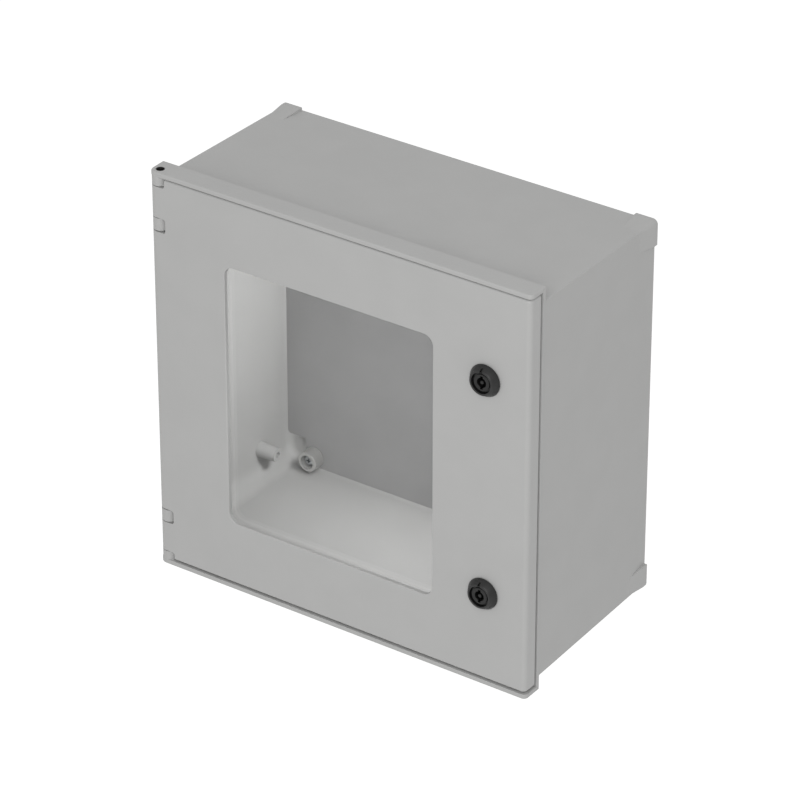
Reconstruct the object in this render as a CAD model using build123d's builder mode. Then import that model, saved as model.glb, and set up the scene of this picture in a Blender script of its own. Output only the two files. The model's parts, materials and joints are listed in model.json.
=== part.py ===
from build123d import *
from math import atan, degrees
import os

# A wall-mounted box of moulded glass-fibre polyester with a glazed, hinged door.
# Lengths are in millimetres: X to the right, Y into the wall, Z up, origin in the
# middle of the rear face. A "depth" is a distance in front of that rear face, so
# every sketch that faces the viewer lies on Plane.XZ.offset(depth).

os.makedirs("parts", exist_ok=True)

# Housing, outside
width = 400.0
height = 400.0
front_depth = 197.0  # rear face to the front of the door
lip_thickness = 4.0
lower_lip_thickness = 4.6
lip_reach = 21.2  # front of a lip back to the rear of the flange
lip_corner_radius = 4.5
upper_lip_radius = 1.6  # round its upper face, except at the rear
lower_lip_radius = 0.8  # round its lower face
flange_thickness = 3.8
body_step = 13.5  # outer face of a lip down to the body
side_step = 0.5  # end of a lip in to the body's side
wall_lean = 2.7  # how far each wall leans in from the flange to the rear
edge_radius = 0.8
foot_width = 22.0
foot_height = 24.5
foot_depth = 4.0
foot_ramp = 25.0  # in front of that depth, down to the leaning walls
foot_radius = 5.0
foot_chamfer = 3.0

# Housing, inside
wall = 4.5
corner_radius = 18.0
floor_radius = 8.0
rim_thickness = 6.0
side_land = 25.0  # flange's side edge to the opening in the rim
end_land = 31.0  # lip's outer face to that opening
opening_radius = 14.0
tongue_thickness = 3.0
tongue_rise = 9.4

# Mounting plate and what holds it
plate_side_gap = 2.0  # each side of the plate inside the opening's edge
plate_end_gap = 8.5
plate_thickness = 2.5
plate_front = 32.0  # depth of its front face
plate_notch_width = 20.0
plate_notch_height = 27.0
plate_notch_chamfer = 2.4
plate_fixing_inset_x = 30.0  # plate's edge to a fixing point
plate_fixing_inset_z = 10.5
plate_boss_radius = 10.0
plate_boss_taper = 1.0  # degrees
insert_radius = 4.5
insert_length = 10.0
bush_radius = 10.0
bush_length = 12.5
bush_floor = 5.5
bush_recess_radius = 6.8
bush_chamfer = 0.8
plate_screw_radius = 3.0
plate_screw_reach = 9.0  # into the insert
plate_screw_head_radius = 5.8
plate_screw_head = 4.2
screw_clearance = 0.2
thread_clearance = 0.05

# Side-wall bosses
side_boss_clearance = 0.3  # a boss's tip beyond the plate's edge
side_boss_depth = 48.0
side_boss_inset = 49.0  # lip's outer face to a boss's axis
side_boss_tip_radius = 6.5
side_boss_root_radius = 8.0
side_boss_bore_radius = 3.0
side_boss_bore_depth = 15.0
boss_embedding = 1.5

# Wall fixing, in the middle of the plate's notches
wall_hole_radius = 4.25
wall_seat_radius = 9.0
wall_seat_rise = 3.0

# Hinges
hinge_radius = 7.6
pin_radius = 3.5
pin_clearance = 0.05
pin_recess = 9.0  # pin's outer end below the lip's outer face
pin_end_chamfer = 0.6
outer_lug = 13.2  # these three are measured in from a lip's outer face
inner_lug_start = 45.0
inner_lug_end = 57.0
blind_end = 2.5  # material left under the pin in an inner lug
knuckle_gap = 0.8
gutter_gap = 0.7
gutter_width = 6.0

# Door
door_back_gap = 2.5
door_top_gap = 1.5
door_bottom_gap = 1.9
door_skin = 4.0
door_wall = 3.5
door_corner_radius = 4.5
door_edge_radius = 2.4
notch_radius = 2.5
notch_end_gap = 1.3  # inner lug to the end of its notch

# Seal
gasket_width = 8.0
gasket_gap = 0.3
rib_thickness = 1.8
rib_gap = 0.2
rib_rise = 7.0

# Window
window_left_margin = 81.0  # from the flange's side edges and the lips' outer faces
window_right_margin = 99.0
window_end_margin = 70.0
window_radius = 10.0
window_edge_radius = 0.8
window_gasket_thickness = 1.5
window_gasket_setback = 3.0  # its inner edge behind the opening's edge
pane_overlap = 12.0
pane_thickness = 4.0
pane_radius = 5.0
clip_boss_offset = 7.0  # pane's edge to a boss's axis
clip_boss_radius = 4.5
clip_inset_x = 45.0  # side of the window to a clip above or below it
clip_inset_z = 55.0
clip_grip = 5.0  # over the pane
clip_tail = 5.0  # past the boss's axis
clip_width = 14.0
clip_thickness = 1.5
clip_screw_radius = 1.7
clip_screw_length = 7.0
clip_screw_head_radius = 3.5
clip_screw_head = 2.4

# Locks
lock_inset = 45.0  # flange's side edge to a lock's axis
lock_spacing = 212.0
lock_seal_thickness = 1.0
lock_seal_radius = 14.5
head_height = 6.5
head_base_radius = 15.4
head_front_radius = 11.6
head_edge_radius = 0.7
recess_radius = 9.8
recess_depth = 4.0
mark_root_width = 5.6  # the pointer cut into the head, at the recess
mark_tip_width = 1.8
mark_reach = 13.6
mark_depth = 3.0
barrel_radius = 10.0
barrel_flats = 18.6
barrel_hole_clearance = 0.2
barrel_end_gap = 0.7  # barrel's end to the cam
nut_width = 26.0
nut_thickness = 5.0
core_radius = 7.95
core_bore_clearance = 0.05
collar_radius = 9.3
collar_thickness = 1.2
collar_gap = 0.3
core_front_setback = 1.2
socket_radius = 4.6
socket_depth = 10.0
key_pin_radius = 1.7
key_pin_setback = 0.6
wing_width = 2.6
wing_span = 12.6
wing_depth = 7.0
square_size = 8.0
square_clearance = 0.05
cam_thickness = 3.0
cam_length = 34.0
cam_hub_radius = 10.5
cam_width = 16.0
cam_tip_radius = 3.0
cam_gap = 0.3  # cam to keeper
cam_screw_radius = 2.5
cam_screw_length = 12.0
cam_screw_head_width = 10.0
cam_screw_head = 4.0
washer_radius = 8.0
washer_thickness = 1.2

# Keepers behind the rim
keeper_width = 16.0
keeper_height = 40.0
keeper_thickness = 2.5
keeper_radius = 3.0
keeper_edge_gap = 1.5  # keeper's edge behind the edge of the opening
keeper_screw_radius = 2.0
keeper_screw_spacing = 28.0
keeper_screw_inset = 12.0  # screw's axis behind the edge of the opening
keeper_screw_head_radius = 3.6
keeper_screw_head = 2.4

# Cross recesses of the screws
cross_width = 1.4
cross_depth = 1.6

# Worked out from the sizes above
flange_rear = front_depth - lip_reach
flange_front = flange_rear + flange_thickness
rim_rear = flange_front - rim_thickness
tongue_tip = flange_front + tongue_rise
body_width = width - 2 * side_step
body_height = height - 2 * body_step
opening_width = width - 2 * side_land
opening_height = height - 2 * end_land
plate_width = opening_width - 2 * plate_side_gap
plate_height = opening_height - 2 * plate_end_gap
plate_fixing_x = plate_width - 2 * plate_fixing_inset_x
plate_fixing_z = plate_height - 2 * plate_fixing_inset_z
side_boss_gap = plate_width + 2 * side_boss_clearance
side_boss_spacing = height - 2 * side_boss_inset
wall_fixing_x = plate_width - plate_notch_width
wall_fixing_z = plate_height - plate_notch_height
plate_rear = plate_front - plate_thickness
bush_front = plate_front + bush_length
door_back = flange_front + door_back_gap
door_top = height / 2 - lip_thickness - door_top_gap
door_bottom = -height / 2 + lower_lip_thickness + door_bottom_gap
door_height = door_top - door_bottom
door_right = width / 2 - side_step
skin_inner = front_depth - door_skin
pin_x = -width / 2 + side_step + hinge_radius
pin_depth = front_depth - hinge_radius
window_width = width - window_left_margin - window_right_margin
window_height = height - 2 * window_end_margin
window_x = (window_left_margin - window_right_margin) / 2
pane_front = skin_inner - window_gasket_thickness
pane_rear = pane_front - pane_thickness
pane_width = window_width + 2 * pane_overlap
pane_height = window_height + 2 * pane_overlap
clip_spacing_x = window_width - 2 * clip_inset_x
clip_spacing_z = window_height - 2 * clip_inset_z
seal_width = opening_width + tongue_thickness  # of the seal's centre line
seal_height = opening_height + tongue_thickness
seal_radius = opening_radius + tongue_thickness / 2
lock_x = width / 2 - lock_inset
head_base = front_depth + lock_seal_thickness
head_front = head_base + head_height
keeper_rear = rim_rear - keeper_thickness
cam_front = keeper_rear - cam_gap
cam_rear = cam_front - cam_thickness


def wall_inset(depth):
    """How far the leaning walls are in from the flange's outline at this depth."""
    return wall_lean * (1 - depth / flange_rear)


def stretch(side, start, end):
    """Lower end and length of a stretch along Z, measured in from the upper (side 1)
    or the lower (side -1) lip's outer face."""
    first = side * (height / 2 - start)
    last = side * (height / 2 - end)
    return min(first, last), abs(first - last)


def seal_outline(offset, mode=Mode.ADD):
    """A rounded rectangle at a distance outside the seal's centre line."""
    RectangleRounded(
        seal_width + 2 * offset, seal_height + 2 * offset, seal_radius + offset, mode=mode
    )


def plan_rectangle(left, right, front, rear):
    """A rectangle in plan, between two X values and two depths."""
    with Locations(((left + right) / 2, -(front + rear) / 2)):
        Rectangle(right - left, front - rear)


def cross(radius):
    """The outline of a screw's cross recess."""
    Rectangle(2 * radius, cross_width)
    Rectangle(cross_width, 2 * radius)


def finish(piece, name):
    """Labels a piece and writes it under its name."""
    piece.part.label = name
    export_step(piece.part, f"parts/{name}.step")


plate_places = [(x, z) for x in (-plate_fixing_x / 2, plate_fixing_x / 2)
                for z in (-plate_fixing_z / 2, plate_fixing_z / 2)]
lock_places = {"upper": lock_spacing / 2, "lower": -lock_spacing / 2}
keeper_screw_x = opening_width / 2 + keeper_screw_inset

# Corner feet: local blocks that bring the leaning walls back out at the four rear
# corners. One is drawn in the upper right corner and mirrored.
with BuildPart() as corner_feet:
    with BuildSketch(Plane.XZ) as foot_outline:
        with Locations(((body_width - foot_width) / 2, (body_height - foot_height) / 2)):
            Rectangle(foot_width, foot_height)
        by_reach = foot_outline.vertices().sort_by(lambda corner: corner.X + corner.Z)
        fillet(by_reach[-1], foot_radius)
        chamfer(by_reach[1:3], foot_chamfer)
    extrude(amount=foot_depth)
    ramp_angle = degrees(atan(wall_lean / foot_ramp))
    extrude(corner_feet.faces().sort_by(Axis.Y)[0], amount=foot_ramp, taper=ramp_angle)
    mirror(about=Plane.YZ)
    mirror(about=Plane.XY)

# The hollow of the box: it narrows towards the rear as the walls do.
with BuildPart() as cavity:
    for depth in (wall, rim_rear):
        with BuildSketch(Plane.XZ.offset(depth)):
            inner_width = body_width - 2 * (wall + wall_inset(depth))
            inner_height = body_height - 2 * (wall + wall_inset(depth))
            RectangleRounded(inner_width, inner_height, corner_radius)
    loft()
    fillet(cavity.faces().sort_by(Axis.Y)[-1].edges(), floor_radius)

# Tapered bosses on the inner side walls, with a blind bore for a fitting's screw.
side_wall_x = body_width / 2 - wall - wall_inset(side_boss_depth)
side_boss_length = side_wall_x - side_boss_gap / 2 + boss_embedding
with BuildPart() as side_bosses:
    boss_tip = Plane(
        origin=(side_boss_gap / 2, -side_boss_depth, side_boss_spacing / 2), z_dir=(1, 0, 0)
    )
    with BuildSketch(boss_tip):
        Circle(side_boss_tip_radius)
    with BuildSketch(boss_tip.offset(side_boss_length)):
        Circle(side_boss_root_radius)
    loft()
    with BuildSketch(boss_tip):
        Circle(side_boss_bore_radius)
    extrude(amount=side_boss_bore_depth, mode=Mode.SUBTRACT)
    mirror(about=Plane.YZ)
    mirror(about=Plane.XY)

# Housing: one moulding of body, feet, flange, lips, sealing rim, lugs and bosses.
with BuildPart() as housing:
    for depth in (0, flange_rear):
        with BuildSketch(Plane.XZ.offset(depth)):
            outer_width = body_width - 2 * wall_inset(depth)
            outer_height = body_height - 2 * wall_inset(depth)
            RectangleRounded(outer_width, outer_height, edge_radius)
    loft()
    add(corner_feet.part)

    # Flange, with a lip over the door and one under it
    with BuildSketch(Plane.XZ.offset(flange_rear)):
        Rectangle(width, height)
    extrude(amount=flange_thickness)
    for side, thickness in ((1, lip_thickness), (-1, lower_lip_thickness)):
        low, length = stretch(side, 0, thickness)
        with BuildSketch(Plane.XY.offset(low)) as lip_plan:
            plan_rectangle(-width / 2, width / 2, front_depth, flange_front)
            fillet(lip_plan.vertices().group_by(Axis.Y)[0].sort_by(Axis.X)[0], hinge_radius)
            fillet(lip_plan.vertices().group_by(Axis.Y)[0].sort_by(Axis.X)[-1], lip_corner_radius)
        extrude(amount=length)
    top_edges = housing.faces().sort_by(Axis.Z)[-1].edges()
    fillet(top_edges.filter_by(Axis.X).sort_by(Axis.Y)[0], upper_lip_radius)
    fillet(housing.faces().sort_by(Axis.Z)[0].edges(), lower_lip_radius)

    # Left gutter: a raised strip behind the door's rolled edge
    low, length = stretch(1, lip_thickness, height - lip_thickness)
    gutter_front = pin_depth - hinge_radius - gutter_gap
    with BuildSketch(Plane.XY.offset(low)):
        plan_rectangle(-width / 2, -width / 2 + gutter_width, gutter_front, flange_front)
    extrude(amount=length)

    # Hinge lugs: an outer one against each lip and an inner one beyond the knuckle
    for side in (1, -1):
        for start, end in ((lip_thickness, outer_lug), (inner_lug_start, inner_lug_end)):
            low, length = stretch(side, start, end)
            with BuildSketch(Plane.XY.offset(low)):
                with Locations((pin_x, -pin_depth)):
                    Circle(hinge_radius)
                plan_rectangle(pin_x - hinge_radius, pin_x + hinge_radius, pin_depth, flange_front)
            extrude(amount=length)

    # Sealing tongue, then the hollow and the opening in the rim
    with BuildSketch(Plane.XZ.offset(flange_front)):
        seal_outline(tongue_thickness / 2)
    extrude(amount=tongue_rise)
    add(cavity.part, mode=Mode.SUBTRACT)
    with BuildSketch(Plane.XZ.offset(rim_rear)):
        seal_outline(-tongue_thickness / 2)
    extrude(amount=rim_thickness + tongue_rise, mode=Mode.SUBTRACT)

    # Bosses for the mounting plate, seats for the wall screws, side-wall bosses
    with BuildSketch(Plane.XZ.offset(wall - boss_embedding)):
        with Locations(*plate_places):
            Circle(plate_boss_radius)
    extrude(amount=plate_rear - wall + boss_embedding, taper=plate_boss_taper)
    with BuildSketch(Plane.XZ.offset(wall - boss_embedding)):
        with GridLocations(wall_fixing_x, wall_fixing_z, 2, 2):
            Circle(wall_seat_radius)
    extrude(amount=wall_seat_rise + boss_embedding)
    add(side_bosses.part)

    # Bores for the plate inserts, the wall screws, the keeper screws and the pins
    with BuildSketch(Plane.XZ.offset(plate_rear)):
        with Locations(*plate_places):
            Circle(insert_radius)
    extrude(amount=-insert_length, mode=Mode.SUBTRACT)
    with BuildSketch(Plane.XZ):
        with GridLocations(wall_fixing_x, wall_fixing_z, 2, 2):
            Circle(wall_hole_radius)
    extrude(amount=wall + wall_seat_rise, mode=Mode.SUBTRACT)
    with BuildSketch(Plane.XZ.offset(rim_rear)):
        for lock_z in lock_places.values():
            with Locations((keeper_screw_x, lock_z)):
                with GridLocations(0, keeper_screw_spacing, 1, 2):
                    Circle(keeper_screw_radius + screw_clearance)
    extrude(amount=rim_thickness, mode=Mode.SUBTRACT)
    for side in (1, -1):
        low, length = stretch(side, 0, inner_lug_end - blind_end)
        with BuildSketch(Plane.XY.offset(low)):
            with Locations((pin_x, -pin_depth)):
                Circle(pin_radius)
        extrude(amount=length, mode=Mode.SUBTRACT)
finish(housing, "housing")

# Mounting plate: notched at the corners to leave a way to the wall screws.
with BuildPart() as mounting_plate:
    with BuildSketch(Plane.XZ.offset(plate_rear)) as plate_outline:
        Rectangle(plate_width, plate_height)
        with GridLocations(plate_width, plate_height, 2, 2):
            Rectangle(2 * plate_notch_width, 2 * plate_notch_height, mode=Mode.SUBTRACT)
        notch_ends = plate_outline.vertices().group_by(Axis.X)
        chamfer(notch_ends[0] + notch_ends[-1], plate_notch_chamfer)
        with Locations(*plate_places):
            Circle(plate_screw_radius + screw_clearance, mode=Mode.SUBTRACT)
    extrude(amount=plate_thickness)
finish(mounting_plate, "mounting_plate")

# Threaded brass inserts, one in each plate boss.
with BuildPart() as plate_inserts:
    with BuildSketch(Plane.XZ.offset(plate_rear - insert_length)):
        with Locations(*plate_places):
            Circle(insert_radius)
            Circle(plate_screw_radius + thread_clearance, mode=Mode.SUBTRACT)
    extrude(amount=insert_length)
finish(plate_inserts, "plate_inserts")

# Spacer bushes on the front of the plate, each with a recess for the screw's head.
with BuildPart() as plate_bushes:
    with BuildSketch(Plane.XZ.offset(plate_front)):
        with Locations(*plate_places):
            Circle(bush_radius)
            Circle(plate_screw_radius + screw_clearance, mode=Mode.SUBTRACT)
    extrude(amount=bush_length)
    bush_rims = plate_bushes.faces().filter_by(Axis.Y).group_by(Axis.Y)[0]
    chamfer([face.outer_wire().edges() for face in bush_rims], bush_chamfer)
    with BuildSketch(Plane.XZ.offset(bush_front)):
        with Locations(*plate_places):
            Circle(bush_recess_radius)
    extrude(amount=bush_floor - bush_length, mode=Mode.SUBTRACT)
finish(plate_bushes, "plate_bushes")

# Screws through the bushes and the plate into the inserts.
head_seat = plate_front + bush_floor
with BuildPart() as plate_screws:
    with BuildSketch(Plane.XZ.offset(head_seat)):
        with Locations(*plate_places):
            Circle(plate_screw_head_radius)
    extrude(amount=plate_screw_head)
    with BuildSketch(Plane.XZ.offset(plate_rear - plate_screw_reach)):
        with Locations(*plate_places):
            Circle(plate_screw_radius)
    extrude(amount=head_seat - plate_rear + plate_screw_reach)
    with BuildSketch(Plane.XZ.offset(head_seat + plate_screw_head)):
        with Locations(*plate_places):
            cross(plate_screw_radius)
    extrude(amount=-cross_depth, mode=Mode.SUBTRACT)
finish(plate_screws, "plate_screws")

# Hinge pins: pushed in through a lip, the outer lug and the knuckle to the blind
# end of the inner lug.
for place, side in (("upper", 1), ("lower", -1)):
    low, length = stretch(side, pin_recess, inner_lug_end - blind_end)
    with BuildPart() as hinge_pin:
        with BuildSketch(Plane.XY.offset(low)):
            with Locations((pin_x, -pin_depth)):
                Circle(pin_radius)
        extrude(amount=length)
        chamfer(hinge_pin.edges().filter_by(GeomType.CIRCLE), pin_end_chamfer)
    finish(hinge_pin, f"hinge_pin_{place}")

# Keepers: steel plates behind the rim that the cams slide over.
keeper_left = opening_width / 2 + keeper_edge_gap
for place, lock_z in lock_places.items():
    with BuildPart() as keeper:
        with BuildSketch(Plane.XZ.offset(keeper_rear)):
            with Locations((keeper_left + keeper_width / 2, lock_z)):
                RectangleRounded(keeper_width, keeper_height, keeper_radius)
            with Locations((keeper_screw_x, lock_z)):
                with GridLocations(0, keeper_screw_spacing, 1, 2):
                    Circle(keeper_screw_radius + thread_clearance, mode=Mode.SUBTRACT)
        extrude(amount=keeper_thickness)
    finish(keeper, f"keeper_{place}")

# Screws through the rim into the keepers, with their heads in front of the flange.
keeper_screw_places = [(keeper_screw_x, lock_z + end * keeper_screw_spacing / 2)
                       for lock_z in lock_places.values() for end in (-1, 1)]
with BuildPart() as keeper_screws:
    with BuildSketch(Plane.XZ.offset(flange_front)):
        with Locations(*keeper_screw_places):
            Circle(keeper_screw_head_radius)
    extrude(amount=keeper_screw_head)
    with BuildSketch(Plane.XZ.offset(keeper_rear)):
        with Locations(*keeper_screw_places):
            Circle(keeper_screw_radius)
    extrude(amount=flange_front - keeper_rear)
    with BuildSketch(Plane.XZ.offset(flange_front + keeper_screw_head)):
        with Locations(*keeper_screw_places):
            cross(keeper_screw_radius)
    extrude(amount=-cross_depth, mode=Mode.SUBTRACT)
finish(keeper_screws, "keeper_screws")

# Clip bosses round the window, and the way out of the pane at each of them.
clip_places = []
for side in (-1, 1):
    for end in (-1, 1):
        beside = window_x + side * (pane_width / 2 + clip_boss_offset)
        above = side * (pane_height / 2 + clip_boss_offset)
        clip_places.append(Location((beside, end * clip_spacing_z / 2, 0), (0, 0, 90 - 90 * side)))
        clip_places.append(Location((window_x + end * clip_spacing_x / 2, above, 0), (0, 0, 90 * side)))

# Door: a shallow tray with a rolled hinge edge, a window and a gasket channel.
with BuildPart() as door:
    rib_outer = gasket_width / 2 + rib_gap + rib_thickness
    channel_left = -seal_width / 2 - rib_outer
    with BuildSketch(Plane.XY.offset(door_bottom)) as tray_plan:
        plan_rectangle(channel_left, door_right, front_depth, door_back)
        fillet(tray_plan.vertices().group_by(Axis.Y)[0].sort_by(Axis.X)[-1], door_corner_radius)
        plan_rectangle(pin_x, 0, front_depth, pin_depth - hinge_radius)
        with Locations((pin_x, -pin_depth)):
            Circle(hinge_radius)
    extrude(amount=door_height)

    # Pocket behind the skin, open into the hollow of the rolled edge
    with BuildSketch(Plane.XY.offset(door_bottom + door_wall)) as pocket_plan:
        plan_rectangle(pin_x, door_right - door_wall, skin_inner, 0)
        inner_corner = pocket_plan.vertices().group_by(Axis.Y)[0].sort_by(Axis.X)[-1]
        fillet(inner_corner, door_corner_radius - door_skin)
        with Locations((pin_x, -pin_depth)):
            Circle(pin_radius + pin_clearance)
    extrude(amount=door_height - 2 * door_wall, mode=Mode.SUBTRACT)

    # Knuckles between the lugs
    for side in (1, -1):
        low, length = stretch(side, outer_lug + knuckle_gap, inner_lug_start - knuckle_gap)
        with BuildSketch(Plane.XY.offset(low)):
            with Locations((pin_x, -pin_depth)):
                Circle(hinge_radius)
            plan_rectangle(pin_x, channel_left + rib_thickness, skin_inner, pin_depth - pin_radius)
            with Locations((pin_x, -pin_depth)):
                Circle(pin_radius + pin_clearance, mode=Mode.SUBTRACT)
        extrude(amount=length)

    # Notches round the lugs
    notch_width = width / 2 + channel_left
    outer_notch = (0, outer_lug + knuckle_gap)
    inner_notch = (inner_lug_start - knuckle_gap, inner_lug_end + notch_end_gap)
    for side in (1, -1):
        for start, end in (outer_notch, inner_notch):
            low, length = stretch(side, start, end)
            with BuildSketch(Plane.XZ.offset(gutter_front)) as notch:
                with Locations(((notch_width - width) / 2, low + length / 2)):
                    Rectangle(notch_width, length)
                fillet(notch.vertices().group_by(Axis.X)[-1], notch_radius)
            extrude(amount=front_depth - gutter_front, mode=Mode.SUBTRACT)

    # Gasket channel: a rib on each side of the gasket
    with BuildSketch(Plane.XZ.offset(skin_inner - rib_rise)):
        seal_outline(rib_outer)
        seal_outline(rib_outer - rib_thickness, mode=Mode.SUBTRACT)
        seal_outline(rib_thickness - rib_outer)
        seal_outline(-rib_outer, mode=Mode.SUBTRACT)
    extrude(amount=rib_rise + door_skin / 2)

    # Window opening and clip bosses
    with BuildSketch(Plane.XZ.offset(pane_rear)):
        with Locations(*clip_places):
            Circle(clip_boss_radius)
    extrude(amount=skin_inner - pane_rear + door_skin / 2)
    with BuildSketch(Plane.XZ.offset(pane_rear)):
        with Locations(*clip_places):
            Circle(clip_screw_radius + thread_clearance)
    extrude(amount=clip_screw_length - clip_thickness, mode=Mode.SUBTRACT)
    with BuildSketch(Plane.XZ.offset(skin_inner)):
        with Locations((window_x, 0)):
            RectangleRounded(window_width, window_height, window_radius)
    extrude(amount=door_skin, mode=Mode.SUBTRACT)

    # Flatted holes for the lock barrels
    with BuildSketch(Plane.XZ.offset(skin_inner)):
        with Locations(*[(lock_x, lock_z) for lock_z in lock_places.values()]):
            Circle(barrel_radius + barrel_hole_clearance)
        flats = barrel_flats + 2 * barrel_hole_clearance
        with Locations((lock_x, 0)):
            Rectangle(flats, height, mode=Mode.INTERSECT)
    extrude(amount=door_skin, mode=Mode.SUBTRACT)

    # Rounded top and bottom edges, softened window edge
    front_edges = door.edges().filter_by(Axis.X).group_by(Axis.Y)[0].sort_by(Axis.Z)
    fillet([front_edges[0], front_edges[-1]], door_edge_radius)
    front_face = door.faces().filter_by(Axis.Y).sort_by(Axis.Y)[0]
    window_wire = front_face.inner_wires().sort_by(SortBy.LENGTH)[-1]
    fillet(window_wire.edges(), window_edge_radius)
finish(door, "door")

# Foam gasket in the channel, up to the housing's tongue.
with BuildPart() as door_gasket:
    with BuildSketch(Plane.XZ.offset(tongue_tip + gasket_gap)):
        seal_outline(gasket_width / 2)
        seal_outline(-gasket_width / 2, mode=Mode.SUBTRACT)
    extrude(amount=skin_inner - tongue_tip - gasket_gap)
finish(door_gasket, "door_gasket")

# Flat gasket between the door's skin and the pane.
with BuildPart() as window_gasket:
    with BuildSketch(Plane.XZ.offset(pane_front)):
        with Locations((window_x, 0)):
            RectangleRounded(pane_width, pane_height, pane_radius)
            RectangleRounded(
                window_width + 2 * window_gasket_setback,
                window_height + 2 * window_gasket_setback,
                window_radius + window_gasket_setback,
                mode=Mode.SUBTRACT,
            )
    extrude(amount=window_gasket_thickness)
finish(window_gasket, "window_gasket")

# Clear pane.
with BuildPart() as window_pane:
    with BuildSketch(Plane.XZ.offset(pane_rear)):
        with Locations((window_x, 0)):
            RectangleRounded(pane_width, pane_height, pane_radius)
    extrude(amount=pane_thickness)
finish(window_pane, "window_pane")

# Clips that bridge from each boss to the pane, and their screws.
clip_length = clip_grip + clip_boss_offset + clip_tail
clip_middle = (clip_tail - clip_grip - clip_boss_offset) / 2
with BuildPart() as window_clips:
    with BuildSketch(Plane.XZ.offset(pane_rear - clip_thickness)):
        with Locations(*clip_places):
            with Locations((clip_middle, 0)):
                RectangleRounded(clip_length, clip_width, clip_thickness)
            Circle(clip_screw_radius + screw_clearance, mode=Mode.SUBTRACT)
    extrude(amount=clip_thickness)
finish(window_clips, "window_clips")

with BuildPart() as window_clip_screws:
    with BuildSketch(Plane.XZ.offset(pane_rear - clip_thickness - clip_screw_head)):
        with Locations(*clip_places):
            Circle(clip_screw_head_radius)
    extrude(amount=clip_screw_head)
    with BuildSketch(Plane.XZ.offset(pane_rear - clip_thickness)):
        with Locations(*clip_places):
            Circle(clip_screw_radius)
    extrude(amount=clip_screw_length)
    with BuildSketch(Plane.XZ.offset(pane_rear - clip_thickness - clip_screw_head)):
        with Locations(*clip_places):
            cross(clip_screw_radius)
    extrude(amount=cross_depth, mode=Mode.SUBTRACT)
finish(window_clip_screws, "window_clip_screws")

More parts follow.
